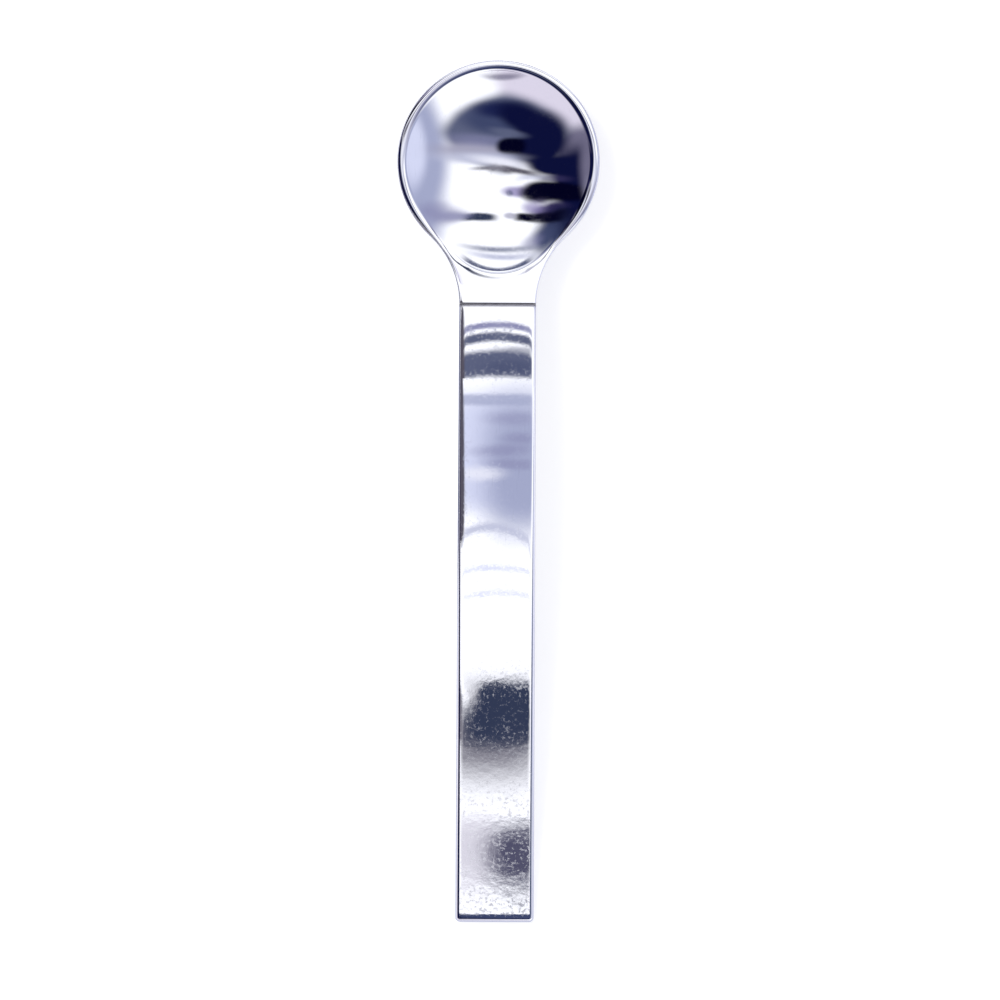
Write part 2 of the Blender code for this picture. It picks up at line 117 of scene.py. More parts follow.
@dataclass(frozen=True)
class SpoonForm:
    """The spoon's sizes, and the smooth surfaces that follow from them."""

    length: float = 0.140
    bowl_to_shoulder: float = 0.0233
    bowl_radius: float = 0.0164
    rim_land: float = 0.0011
    dish_depth: float = 0.0073
    heel_radius: float = 0.0099
    heel_reach: float = 0.0188
    floor_thickness: float = 0.0014
    sheet: float = 0.00125
    rim_edge: float = 0.0008
    foot_radius: float = 0.0028
    back_fillet: float = 0.0008
    dish_edge_blend: float = 0.00055
    neck_rise: float = math.radians(15.0)
    bend_radius: float = 0.0212
    bend_start: float = 0.0105
    front_width: float = 0.0124
    tail_width: float = 0.01275
    tail_thickness: float = 0.0020
    crown: float = 0.0001
    shoulder_step: float = 0.0005
    tail_slope: float = math.radians(-10.0)
    tongue_length: float = 0.0105
    tongue_root: float = 0.00095
    tongue_tip: float = 0.00045
    tongue_edge_share: float = 0.55
    seam_gap: float = 0.0003
    slope_sample: float = 0.0004
    edge_smoothing: float = math.radians(24.0)
    edge_samples: int = 12
    edge_end_weight: float = 0.05
    back_reach: float = 1.15
    least_half: float = 1e-6

    @property
    def tail_y(self) -> float:
        """Y of the handle's tail."""
        return -self.length / 2

    @property
    def bowl_y(self) -> float:
        """Y of the bowl's centre."""
        return self.length / 2 - self.bowl_radius

    @property
    def shoulder_y(self) -> float:
        """Y of the handle's shoulder."""
        return self.bowl_y - self.bowl_to_shoulder

    @property
    def neck_end_y(self) -> float:
        """Y where the neck ends, short of the shoulder."""
        return self.shoulder_y + self.seam_gap

    @property
    def rim_z(self) -> float:
        """Height of the round rim."""
        return self.floor_thickness + self.dish_depth

    @property
    def dish_circle(self) -> float:
        """Radius of the dish's round part."""
        return self.bowl_radius - self.rim_land

    @property
    def neck_half(self) -> float:
        """Half the neck's width at the shoulder."""
        return self.front_width / 2

    @property
    def front_thickness(self) -> float:
        """Thickness of the handle at its shoulder."""
        return self.shoulder_step + self.sheet + self.seam_gap + self.tongue_root

    @property
    def fillet_radius(self) -> float:
        """Radius of the neck's side fillet, which touches the bowl's circle and the handle's side."""
        return ((self.neck_half ** 2 + self.bowl_to_shoulder ** 2 - self.bowl_radius ** 2)
                / (2 * (self.bowl_radius - self.neck_half)))

    @property
    def bend_run(self) -> float:
        """Length of the neck's bend, seen from above."""
        return self.bend_radius * math.sin(self.neck_rise)

    @property
    def fillet_x(self) -> float:
        """X of the fillet's centre."""
        return self.neck_half + self.fillet_radius

    @property
    def fillet_angle(self) -> float:
        """Angle from the handle, seen from the bowl's centre, at which circle and fillet meet."""
        return math.atan2(self.fillet_x, self.bowl_to_shoulder)

    def land_height(self, y: float) -> float:
        """Return the height of the rim land, and of the neck's top face, at y."""
        back = self.bowl_y - self.bend_start - y
        if back <= 0:
            return self.rim_z
        if back < self.bend_run:
            return self.rim_z + self.bend_radius - math.sqrt(self.bend_radius ** 2 - back ** 2)
        rise = self.bend_radius * (1 - math.cos(self.neck_rise))
        return self.rim_z + rise + (back - self.bend_run) * math.tan(self.neck_rise)

    def neck_share(self, y: float) -> float:
        """Return the share of the way from the round rim, 0, to the straight neck, 1."""
        return smooth_step((self.bowl_y - self.bend_start - y) / self.bend_run)

    def outline_radius(self, angle: float) -> float:
        """Return the distance from the bowl's centre to the outline; angle 0 points at the handle."""
        if angle >= self.fillet_angle:
            return self.bowl_radius
        reach = self.bowl_radius + self.fillet_radius
        across = reach * math.sin(self.fillet_angle - angle)
        end = (self.bowl_y - self.neck_end_y) / math.cos(angle)
        if across >= self.fillet_radius:
            return end
        along = reach * math.cos(self.fillet_angle - angle)
        return min(end, along - math.sqrt(self.fillet_radius ** 2 - across ** 2))

    def hull_radius(self, angle: float) -> float:
        """Return the distance to the hull of the dish's circle and the heel's smaller one."""
        offset = self.heel_reach - self.heel_radius
        sine = (self.dish_circle - self.heel_radius) / offset
        cosine = math.sqrt(1 - sine ** 2)
        if angle >= math.atan2(cosine, sine):
            return self.dish_circle
        if angle >= math.atan2(self.heel_radius * cosine, offset + self.heel_radius * sine):
            return self.dish_circle / (cosine * math.sin(angle) + sine * math.cos(angle))
        across = offset * math.sin(angle)
        return offset * math.cos(angle) + math.sqrt(self.heel_radius ** 2 - across ** 2)

    def dish_radius(self, angle: float) -> float:
        """Return the distance to the dish's edge, evened out so that its curve has no sudden change."""
        turns = spread(-self.edge_smoothing, self.edge_smoothing, self.edge_samples)
        turns = [math.pi - abs(math.pi - abs(angle + turn)) for turn in turns]
        ways = spread(-1.0, 1.0, self.edge_samples)
        weights = [1 + math.cos(math.pi * way) + self.edge_end_weight for way in ways]
        return sum(self.hull_radius(turn) * w for turn, w in zip(turns, weights)) / sum(weights)

    def back_radius(self, angle: float) -> float:
        """Return the distance to where the round back meets the rim or the neck."""
        edge = self.hull_radius(angle)
        return edge + min(self.outline_radius(angle) - edge, self.rim_land) / 2

    def polar(self, x: float, y: float) -> tuple[float, float]:
        """Return a plan point's angle from the handle and distance from the bowl's centre."""
        return math.atan2(abs(x), self.bowl_y - y), math.hypot(x, self.bowl_y - y)

    def dish_point(self, angle: float, share: float) -> Point:
        """Return a point of the dish, a parabola, at a share of the way from its lowest point to its edge.

        The point is on the +X side.
        """
        edge = self.dish_radius(angle)
        reach = share * edge
        rise = self.land_height(self.bowl_y - edge * math.cos(angle)) - self.floor_thickness
        return (reach * math.sin(angle), self.bowl_y - reach * math.cos(angle),
                self.floor_thickness + rise * share ** 2)

    def dish_height(self, x: float, y: float) -> float:
        """Return the height inside the dish, and of its surface carried on past its edge."""
        angle, distance = self.polar(x, y)
        return self.dish_point(angle, distance / self.dish_radius(angle))[2]

    def top_height(self, x: float, y: float) -> float:
        """Return the height of the bowl's upper side: the dish, rounded over into the land."""
        return smooth_minimum(self.dish_height(x, y), self.land_height(y), self.dish_edge_blend)

    def back_height(self, x: float, y: float) -> float:
        """Return the height of the underside: the back, a parabola too, filleted into the rim and neck."""
        angle, distance = self.polar(x, y)
        reach = self.back_radius(angle)
        edge = self.land_height(self.bowl_y - reach * math.cos(angle)) - self.sheet
        foot = (self.foot_radius / reach) ** 2
        back = edge * max(0.0, (min(distance / reach, self.back_reach) ** 2 - foot) / (1 - foot))
        return smooth_minimum(back, self.land_height(y) - self.sheet, self.back_fillet)

    def rim_under_height(self, x: float, y: float) -> float:
        """Return the height of the underside with the rim's edge thinned."""
        angle, distance = self.polar(x, y)
        outline = self.outline_radius(angle)
        inset = (outline - distance) / (outline - self.back_radius(angle))
        thinning = (self.sheet - self.rim_edge) * (1 - self.neck_share(y))
        return self.back_height(x, y) + thinning * (1 - smooth_step(inset))

    def below_back(self, x: float, y: float, gap: float) -> float:
        """Return the height of a surface that keeps a gap, measured square, to the underside."""
        step = self.slope_sample
        slope_x = (self.back_height(x + step, y) - self.back_height(x - step, y)) / (2 * step)
        slope_y = (self.back_height(x, y + step) - self.back_height(x, y - step)) / (2 * step)
        return self.back_height(x, y) - gap * math.sqrt(1 + slope_x ** 2 + slope_y ** 2)

    def handle_share(self, y: float) -> float:
        """Return the share of the way from the shoulder to the tail."""
        return (self.shoulder_y - y) / (self.shoulder_y - self.tail_y)

    def handle_top(self, y: float) -> float:
        """Return the height of the handle's top along its middle."""
        front = (self.land_height(self.shoulder_y) + self.shoulder_step, math.tan(self.neck_rise))
        tail = (self.tail_thickness, math.tan(self.tail_slope))
        return hermite(front, tail, self.shoulder_y - self.tail_y, self.handle_share(y))

    def handle_thickness(self, y: float) -> float:
        """Return the handle's thickness at y."""
        return self.front_thickness + (self.tail_thickness - self.front_thickness) * self.handle_share(y)

    def handle_bottom(self, y: float) -> float:
        """Return the height of the handle's underside."""
        return self.handle_top(y) - self.handle_thickness(y)

    def handle_half(self, y: float) -> float:
        """Return half the handle's width."""
        return (self.front_width + (self.tail_width - self.front_width) * self.handle_share(y)) / 2

    def lap_height(self, y: float) -> float:
        """Return the height on the handle's side that is level with the tongue's top."""
        return self.handle_bottom(y) + self.handle_thickness(y) * self.tongue_root / self.front_thickness

    def tongue_half(self, y: float) -> float:
        """Return half the tongue's width, an ellipse's end."""
        return self.neck_half * math.sqrt(max(0.0, 1 - ((y - self.shoulder_y) / self.tongue_length) ** 2))

    def tongue_thickness(self, y: float) -> float:
        """Return the tongue's thickness along its middle: a smooth heel down to its tip."""
        tip_y = self.shoulder_y + self.tongue_length
        step = self.slope_sample
        tip_slope = (self.back_height(0, tip_y + step) - self.back_height(0, tip_y)) / step
        root = (self.handle_bottom(self.shoulder_y), -math.tan(self.neck_rise))
        tip = (self.below_back(0, tip_y, self.seam_gap + self.tongue_tip), tip_slope)
        heel = hermite(root, tip, self.tongue_length, (y - self.shoulder_y) / self.tongue_length)
        low = min(heel, self.below_back(0, y, self.seam_gap + self.tongue_tip))
        return self.below_back(0, y, self.seam_gap) - low

    def tongue_bottom(self, x: float, y: float) -> float:
        """Return the height of the tongue's underside."""
        across = min(abs(x) / max(self.tongue_half(y), self.least_half), 1.0)
        full = smooth_step((y - self.shoulder_y) / (self.tongue_length / 2))
        thinning = (1 - self.tongue_edge_share) * full
        return self.below_back(x, y, self.seam_gap) - self.tongue_thickness(y) * (1 - thinning * across ** 2)


def deselect_all() -> None:
    """Leave nothing selected, in object mode."""
    if bpy.context.object and bpy.context.object.mode != "OBJECT":
        bpy.ops.object.mode_set(mode="OBJECT")
    bpy.ops.object.select_all(action="DESELECT")


def select_only(obj: bpy.types.Object) -> None:
    """Select one object alone and make it active."""
    deselect_all()
    obj.select_set(True)
    bpy.context.view_layer.objects.active = obj


@contextmanager
def whole_mesh(obj: bpy.types.Object) -> Iterator[None]:
    """Work in edit mode, with all of an object's mesh selected."""
    select_only(obj)
    bpy.ops.object.mode_set(mode="EDIT")
    bpy.ops.mesh.select_all(action="SELECT")
    yield
    bpy.ops.object.mode_set(mode="OBJECT")


def add_grid(name: str, columns: int = 2, rows: int = 2, size: float = 1.0,
             height: float = 0.0) -> bpy.types.Object:
    """Add a flat square grid, level at a height."""
    deselect_all()
    bpy.ops.mesh.primitive_grid_add(x_subdivisions=columns, y_subdivisions=rows, size=size,
                                    location=(0.0, 0.0, height))
    obj = bpy.context.object
    obj.name = obj.data.name = name
    return obj


def wrap_sheet(name: str, rings: list[Ring]) -> bpy.types.Object:
    """Bend a grid round into a tube through rings of one length, which may shrink to a point.

    Its seam and its poles are closed, and its ends are still open.
    """
    obj = add_grid(name, len(rings[0]), len(rings) - 1)
    closed = [ring + ring[:1] for ring in rings]
    obj.data.vertices.foreach_set("co", [value for ring in closed for point in ring for value in point])
    with whole_mesh(obj):
        bpy.ops.mesh.remove_doubles(threshold=WELD_LENGTH)
    return obj


def close_and_smooth(obj: bpy.types.Object, sharp_angle: float) -> None:
    """Close an object's open ends, turn its faces outwards and shade it.

    Args:
        obj: The object, whose place is in its mesh.
        sharp_angle: Edges that turn by more than this stay sharp, in radians.
    """
    with whole_mesh(obj):
        bpy.ops.mesh.fill_holes(sides=0)
        bpy.ops.mesh.select_all(action="SELECT")
        bpy.ops.mesh.normals_make_consistent(inside=False)
    bpy.ops.object.shade_smooth_by_angle(angle=sharp_angle)


@dataclass
class Piece:
    """One visible piece of the spoon, over its CAD node."""

    form: SpoonForm
    name: str
    node: str
    slot: Slot
    sharp_angle: float

    def build(self) -> bpy.types.Object:
        """Shape the piece as one closed mesh."""
        raise NotImplementedError

    def set_up(self, material: bpy.types.Material) -> None:
        """Build the piece and give it its finish, its body and the node that it stands for."""
        obj = self.build()
        obj.data.materials.clear()
        obj.data.materials.append(material)
        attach(obj, ROOT_BODY)
        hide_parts(self.node)
        LOG.info("%s: %d faces, stands for %s", obj.name, len(obj.data.polygons), self.node)


def flipped(place: Plan) -> Plan:
    """Return a plan point or step mirrored to the other side of the spoon."""
    return -place[0], place[1]


def stepped(place: Plan, step: Plan, share: float) -> Plan:
    """Return the plan point at a share of a step from a place."""
    return place[0] + step[0] * share, place[1] + step[1] * share


@dataclass(frozen=True)
class Column:
    """One column of the bowl's mesh, at a point of its outline.

    The two roundings of its edge are quarter ellipses: each has a plan step inwards and a height.
    """

    place: Plan
    upper_step: Plan
    upper_drop: float
    lower_step: Plan
    lower_rise: float

    def mirrored(self) -> "Column":
        """Return the column's partner on the other side of the spoon."""
        return replace(self, place=flipped(self.place), upper_step=flipped(self.upper_step),
                       lower_step=flipped(self.lower_step))


@dataclass
class Bowl(Piece):
    """The pressed bowl, with its rounded rim, flared neck and flat neck tab."""

    name: str = "pressed_bowl"
    node: str = "bowl"
    slot: Slot = Slot.BOWL
    sharp_angle: float = math.radians(60.0)
    tip_columns: int = 92
    fillet_columns: int = 34
    end_columns: int = 5
    dish_rings: int = 46
    edge_rings: int = 12
    land_rings: int = 3
    back_rings: int = 34
    turn_steps: int = 10
    dish_edge_start: float = 0.95
    dish_edge_end: float = 0.985
    lip_width: float = 0.0012
    lip_drop: float = 0.0005
    lip_under: float = 0.00028
    neck_lip_width: float = 0.0006
    neck_lip_drop: float = 0.0004
    end_turn: float = 0.0001

    def side_columns(self) -> list[Column]:
        """Return the columns on the +X side, from the tip to the neck's end."""
        form = self.form
        places = []
        for turn in spread(math.pi, form.fillet_angle, self.tip_columns):
            out_x, out_y = math.sin(turn), -math.cos(turn)
            place = (form.bowl_radius * out_x, form.bowl_y + form.bowl_radius * out_y)
            places.append((place, (out_x, out_y)))
        last = math.asin((form.neck_end_y - form.shoulder_y) / form.fillet_radius)
        for turn in spread(math.pi / 2 - form.fillet_angle, last, self.fillet_columns)[1:]:
            places.append(((form.fillet_x - form.fillet_radius * math.cos(turn),
                            form.shoulder_y + form.fillet_radius * math.sin(turn)),
                           (math.cos(turn), -math.sin(turn))))
        columns = []
        for place, (out_x, out_y) in places:
            along_neck = form.neck_share(place[1])
            width = self.lip_width + (self.neck_lip_width - self.lip_width) * along_neck
            drop = self.lip_drop + (self.neck_lip_drop - self.lip_drop) * along_neck
            lower_step = (-out_x * self.lip_under, -out_y * self.lip_under)
            columns.append(Column(place, (-out_x * width, -out_y * width), drop, lower_step, self.lip_under))
        return columns

    def columns(self) -> list[Column]:
        """Return the columns once round the outline, from the tip over the neck's end and back."""
        side = self.side_columns()
        corner_x = side[-1].place[0]
        y = self.form.neck_end_y
        turn = self.end_turn
        half = side[:-1]
        half.append(Column((corner_x, y), (-self.neck_lip_width, turn), self.neck_lip_drop,
                           (-self.lip_under, turn), self.lip_under))
        half += [Column((x, y), (0.0, turn), turn, (0.0, turn), turn)
                 for x in spread(corner_x - self.neck_lip_width, 0.0, self.end_columns)]
        return half + [column.mirrored() for column in half[-2:0:-1]]

    def top_rings(self, columns: list[Column]) -> list[Ring]:
        """Return the rings from the dish's centre over the land to where the lip rounds down."""
        form = self.form
        rings = []
        shares = spread(0.0, self.dish_edge_start, self.dish_rings)
        shares += spread(self.dish_edge_start, self.dish_edge_end, self.edge_rings)[1:]
        for share in shares:
            points = [(form.dish_point(form.polar(*column.place)[0], share), column) for column in columns]
            rings.append([(math.copysign(x, column.place[0]), y,
                           smooth_minimum(z, form.land_height(y), form.dish_edge_blend))
                          for (x, y, z), column in points])
        inner = rings[-1]
        outer = [stepped(column.place, column.upper_step, 1.0) for column in columns]
        for share in spread(0.0, 1.0, self.land_rings)[1:]:
            places = [(x + (far_x - x) * share, y + (far_y - y) * share)
                      for (x, y, _), (far_x, far_y) in zip(inner, outer)]
            rings.append([(x, y, form.top_height(x, y)) for x, y in places])
        return rings

    def lip_rings(self, columns: list[Column]) -> list[Ring]:
        """Return the rings that round the lip down to its upright side, and from there under to the back."""
        form = self.form
        turns = quarter_turn(self.turn_steps)
        rings = []
        for inward, along in turns:
            places = [(*stepped(c.place, c.upper_step, inward), c.upper_drop * along) for c in columns]
            rings.append([(x, y, form.top_height(x, y) - drop) for x, y, drop in places])
        for inward, along in turns[::-1]:
            places = [(*stepped(c.place, c.lower_step, inward), c.lower_rise * along) for c in columns]
            rings.append([(x, y, form.rim_under_height(x, y) + rise) for x, y, rise in places])
        return rings

    def under_rings(self, columns: list[Column], start: Ring) -> list[Ring]:
        """Return the rings from the underside of the rim to the foot's centre."""
        form = self.form
        rings = []
        for share in [math.sin(turn) for turn in spread(math.pi / 2, 0.0, self.back_rings)][1:]:
            ring = []
            for first, column in zip(start, columns):
                angle, _ = form.polar(*column.place)
                lean, full = form.polar(first[0], first[1])
                turn = angle + (lean - angle) * share
                reach = share * full
                x = math.copysign(reach * math.sin(turn), column.place[0])
                y = form.bowl_y - reach * math.cos(turn)
                ring.append((x, y, form.rim_under_height(x, y)))
            rings.append(ring)
        return rings

    def build(self) -> bpy.types.Object:
        """Shape the bowl as one closed shell."""
        columns = self.columns()
        rings = self.top_rings(columns) + self.lip_rings(columns)[1:]
        rings += self.under_rings(columns, rings[-1])
        obj = wrap_sheet(self.name, rings)
        close_and_smooth(obj, self.sharp_angle)
        return obj


@dataclass
class Handle(Piece):
    """The strip handle: a flat arched bar with a shoulder, and the lap tongue under the neck."""

    name: str = "strip_handle"
    node: str = "handle"
    slot: Slot = Slot.HANDLE
    sharp_angle: float = math.radians(50.0)
    stations: int = 130
    tongue_stations: int = 44
    across: int = 24
    turn_steps: int = 6
    side_turn: float = 0.0007
    under_turn: float = 0.0004
    end_turn: float = 0.0007
    shoulder_turn: float = 0.0003
    least_turn: float = 0.02
    tongue_edge_turn: float = 0.7
    tongue_half_turn: float = 0.8

    def upper_half(self, y: float, half: float, drop: float, radius: float) -> Ring:
        """Return a section's upper half, from the left lap corner over the top to the right one.

        Args:
            y: The section's place.
            half: Half its width.
            drop: How far its top is lowered, near a rounded end.
            radius: The radius of its upper corners.

        Returns:
            The points of the half section.
        """
        form = self.form

        def crowned(x: float) -> float:
            return form.handle_top(y) - drop - form.crown * (x / form.neck_half) ** 2

        right = [(half - radius * inward, crowned(half - radius * inward) - radius * along)
                 for inward, along in quarter_turn(self.turn_steps)]
        top = [(x, crowned(x)) for x in spread(radius - half, half - radius, self.across)]
        points = [(-half, form.lap_height(y))] + [(-x, z) for x, z in right[:0:-1]]
        points += top + right[1:] + [(half, form.lap_height(y))]
        return [(x, y, z) for x, z in points]

    def lower_half(self, y: float, half: float, radius: float, height: Surface) -> Ring:
        """Return a section's lower half, from its right side under to its left side, lap corners left out."""
        right = [(half - radius * inward, radius * along) for inward, along in quarter_turn(self.turn_steps)]
        points = [(x, height(x, y) + lift) for x, lift in right[:0:-1]]
        points += [(x, height(x, y)) for x in spread(half - radius, radius - half, self.across)]
        points += [(-x, height(-x, y) + lift) for x, lift in right[1:]]
        return [(x, y, z) for x, z in points]

    def bar_ring(self, y: float, drop: float = 0.0, inset: float = 0.0, turn_share: float = 1.0) -> Ring:
        """Return the bar's ring at y.

        Args:
            y: The ring's place.
            drop: How far its top is lowered.
            inset: How far its sides and its underside are drawn in.
            turn_share: The share of its corners' radii that is left.

        Returns:
            The points once round the bar.
        """
        half = self.form.handle_half(y) - inset
        return (self.upper_half(y, half, drop, self.side_turn * turn_share)
                + self.lower_half(y, half, self.under_turn * turn_share,
                                  lambda _, there: self.form.handle_bottom(there) + inset))

    def bar_rings(self) -> list[Ring]:
        """Return the bar's rings from the shoulder's face to the tail's face."""
        start, end = self.form.shoulder_y, self.form.tail_y
        turns = quarter_turn(self.turn_steps)
        rings = [self.bar_ring(start - self.shoulder_turn * back, self.shoulder_turn * drop)
                 for drop, back in turns]
        straight = spread(start - self.shoulder_turn, end + self.end_turn, self.stations)
        rings += [self.bar_ring(y) for y in straight[1:]]
        for back, inward in turns[1:]:
            inset = self.end_turn * inward
            turn_share = max(1 - inward, self.least_turn)
            rings.append(self.bar_ring(end + self.end_turn * back, inset, inset, turn_share))
        return rings

    def tongue_rings(self) -> list[Ring]:
        """Return the tongue's rings from its tip to the shoulder."""
        form = self.form
        rings = []
        upper = 2 * self.turn_steps + self.across + 2
        for i in range(1, self.tongue_stations + 1):
            y = form.shoulder_y + form.tongue_length * math.cos(math.pi / 2 * i / self.tongue_stations)
            half = form.tongue_half(y)
            top = [(x, y, form.below_back(x, y, form.seam_gap)) for x in spread(-half, half, upper)]
            if i == self.tongue_stations:
                top = [(x, y, form.lap_height(y)) for x, y, _ in top]
                low = self.lower_half(y, half, self.under_turn, lambda _, there: form.handle_bottom(there))
            else:
                edge = form.below_back(half, y, form.seam_gap) - form.tongue_bottom(half, y)
                radius = min(self.under_turn, edge * self.tongue_edge_turn, half * self.tongue_half_turn)
                low = self.lower_half(y, half, radius, form.tongue_bottom)
            rings.append(top + low)
        return rings

    def build(self) -> bpy.types.Object:
        """Shape bar and tongue, and join them at the shoulder."""
        bar = wrap_sheet(self.name, self.bar_rings())
        tongue = wrap_sheet("lap_tongue", self.tongue_rings())
        select_only(bar)
        tongue.select_set(True)
        bpy.ops.object.join()
        with whole_mesh(bar):
            bpy.ops.mesh.remove_doubles(threshold=JOINT_WELD_LENGTH)
        close_and_smooth(bar, self.sharp_angle)
        return bar


@dataclass
class BrazeSeam(Piece):
    """The filler metal: a film between tongue and neck, and the bead in the butt line."""

    name: str = "braze_fillet"
    node: str = "braze_seam"
    slot: Slot = Slot.BRAZE
    sharp_angle: float = math.radians(35.0)
    stations: int = 40
    across: int = 30
    clearance: float = 0.00005
    bead_inset: float = 0.00006
    bead_rise: float = 0.00012

    def film_rings(self) -> list[Ring]:
        """Return the film's rings from near the tongue's tip to the bead's foot."""
        form = self.form
        rings = []
        places = [form.shoulder_y + form.tongue_length * math.cos(math.pi / 2 * i / self.stations)
                  for i in range(2, self.stations)]
        places.append(form.shoulder_y + self.clearance)
        for y in places:
            half = form.tongue_half(y) - self.clearance
            row = spread(-half, half, self.across)
            top = [(x, y, form.below_back(x, y, self.clearance)) for x in row]
            bottom = [(x, y, form.below_back(x, y, form.seam_gap - self.clearance)) for x in row]
            rings.append(bottom + top[::-1])
        return rings

    def bead(self) -> bpy.types.Object:
        """Shape the bead: a block that fills the butt line, hollowed a little on top."""
        form = self.form
        half = form.neck_half - self.clearance - self.bead_inset
        low = form.shoulder_y + self.clearance
        high = form.neck_end_y - self.clearance
        foot = form.land_height(form.shoulder_y) - form.sheet - form.seam_gap / 2
        back = form.land_height(low) + self.bead_rise
        front = form.land_height(high) - self.bead_rise
        middle = ((low + high) / 2, (front + back) / 2)
        section = [(low, foot), (high, foot), (high, front), middle, (low, back)]
        rows = [[(x, y, z) for y, z in section] for x in spread(-half, half, self.across)]
        return wrap_sheet("braze_bead", rows)

    def build(self) -> bpy.types.Object:
        """Shape film and bead and unite them."""
        film = wrap_sheet(self.name, self.film_rings())
        bead = self.bead()
        for part in (bead, film):
            close_and_smooth(part, self.sharp_angle)
        union = film.modifiers.new("Bead", "BOOLEAN")
        union.operation = "UNION"
        union.object = bead
        bpy.ops.object.modifier_apply(modifier=union.name)
        bpy.data.objects.remove(bead, do_unlink=True)
        return film


def opaque(colour: Colour) -> tuple[float, float, float, float]:
    """Return a colour with full cover."""
    return (*colour, 1.0)


@dataclass(frozen=True)
class NodeSheet:
    """Adds nodes to one node tree and links them."""

    tree: bpy.types.NodeTree

    def feed(self, node: bpy.types.Node, values: dict[str | int, object]) -> None:
        """Set a node's inputs to values, or link them where the value is a socket."""
        for key, value in values.items():
            if isinstance(value, Socket):
                self.tree.links.new(value, node.inputs[key])
            else:
                node.inputs[key].default_value = value

    def add(self, kind: str, values: dict[str | int, object] | None = None,
            **settings: object) -> bpy.types.bpy_prop_collection:
        """Add a node.

        Args:
            kind: The node's type name.
            values: Values or sockets, by the name or number of the input that they feed.
            **settings: Attributes of the node.

        Returns:
            The new node's outputs.
        """
        node = self.tree.nodes.new(kind)
        for key, value in settings.items():
            setattr(node, key, value)
        self.feed(node, values or {})
        return node.outputs

    def math(self, operation: str, *terms: object) -> Socket:
        """Add a Math node, fed with sockets or numbers, and return its result."""
        return self.add("ShaderNodeMath", dict(enumerate(terms)), operation=operation)[0]

    def vector(self, operation: str, values: dict[str | int, object]) -> Socket:
        """Add a Vector Math node and return its vector."""
        return self.add("ShaderNodeVectorMath", values, operation=operation)["Vector"]

    def place(self) -> Socket:
        """Add a Texture Coordinate node and return the object's own coordinates."""
        return self.add("ShaderNodeTexCoord")["Object"]

    def axes(self, vector: Socket) -> bpy.types.bpy_prop_collection:
        """Part a vector and return its X, Y and Z sockets."""
        return self.add("ShaderNodeSeparateXYZ", {"Vector": vector})

    def noise(self, vector: Socket, scale: float, detail: float, roughness: float = 0.5,
              distortion: float = 0.0) -> Socket:
        """Add a noise texture and return its factor."""
        values = {"Vector": vector, "Scale": scale, "Detail": detail, "Roughness": roughness,
                  "Distortion": distortion}
        return self.add("ShaderNodeTexNoise", values)["Fac"]

    def ramp(self, start: Socket, low: float, high: float, to_low: float = 0.0,
             to_high: float = 1.0) -> Socket:
        """Add a smooth Map Range node and return its result."""
        values = {"Value": start, "From Min": low, "From Max": high, "To Min": to_low, "To Max": to_high}
        return self.add("ShaderNodeMapRange", values, interpolation_type="SMOOTHSTEP")["Result"]

    def mix(self, share: Socket, first: object, second: object) -> Socket:
        """Add a colour mix and return its result. Its colour inputs go by number, as their names repeat."""
        return self.add("ShaderNodeMix", {0: share, 6: first, 7: second}, data_type="RGBA")[2]


def new_material(name: str, blank: bool = False) -> tuple[bpy.types.Material, NodeSheet]:
    """Start a material, with a Principled shader unless it is to be blank."""
    material = bpy.data.materials.new(name)
    material.use_nodes = True
    if blank:
        material.node_tree.nodes.clear()
    return material, NodeSheet(material.node_tree)


def new_group(name: str, inputs: dict[str, str | float], outputs: dict[str, str]) -> NodeSheet:
    """Start a shader node group.

    Args:
        name: The group's name.
        inputs: By input name, the socket's type, or the default value of a number.
        outputs: Socket type by output name.

    Returns:
        The sheet of the group, with its input and output nodes in place.
    """
    group = bpy.data.node_groups.new(name, "ShaderNodeTree")
    for key, value in inputs.items():
        is_number = isinstance(value, float)
        kind = "NodeSocketFloat" if is_number else value
        socket = group.interface.new_socket(name=key, in_out="INPUT", socket_type=kind)
        if is_number:
            socket.default_value = value
    for key, kind in outputs.items():
        group.interface.new_socket(name=key, in_out="OUTPUT", socket_type=kind)
    group.nodes.new("NodeGroupInput")
    group.nodes.new("NodeGroupOutput")
    return NodeSheet(group)


def polishing_group() -> bpy.types.NodeTree:
    """Build the marks that polishing and use leave on steel.

    Returns:
        A group that takes a Vector and puts out masks of Scratch, Haze and Fleck, and a Height.
    """
    outputs = dict.fromkeys(("Scratch", "Haze", "Fleck", "Height"), "NodeSocketFloat")
    sheet = new_group("polishing_marks", {"Vector": "NodeSocketVector"}, outputs)
    place = sheet.tree.nodes["Group Input"].outputs["Vector"]
    hairlines = []
    for turn, stretch in ((8.0, 0.05), (-34.0, 0.07), (71.0, 0.06)):
        drawn = sheet.add("ShaderNodeMapping", {"Vector": place, "Rotation": (0.0, 0.0, math.radians(turn)),
                                                "Scale": (1.0, stretch, 1.0)})["Vector"]
        lines = sheet.noise(drawn, scale=2600.0, detail=1.0, roughness=0.4, distortion=0.3)
        hairlines.append(sheet.ramp(lines, low=0.68, high=0.80))
    scratch = sheet.math("MAXIMUM", sheet.math("MAXIMUM", hairlines[0], hairlines[1]), hairlines[2])
    haze = sheet.noise(place, scale=120.0, detail=4.0, roughness=0.6)
    flecks = sheet.noise(place, scale=1900.0, detail=2.0)
    grain = sheet.noise(place, scale=620.0, detail=3.0, roughness=0.55)
    height = sheet.math("SUBTRACT", sheet.math("MULTIPLY", grain, GRAIN_HEIGHT),
                        sheet.math("MULTIPLY", scratch, SCRATCH_DEPTH))
    sheet.feed(sheet.tree.nodes["Group Output"], {
        "Scratch": scratch, "Haze": sheet.ramp(haze, low=0.42, high=0.72),
        "Fleck": sheet.ramp(flecks, low=0.50, high=0.70), "Height": height})
    return sheet.tree


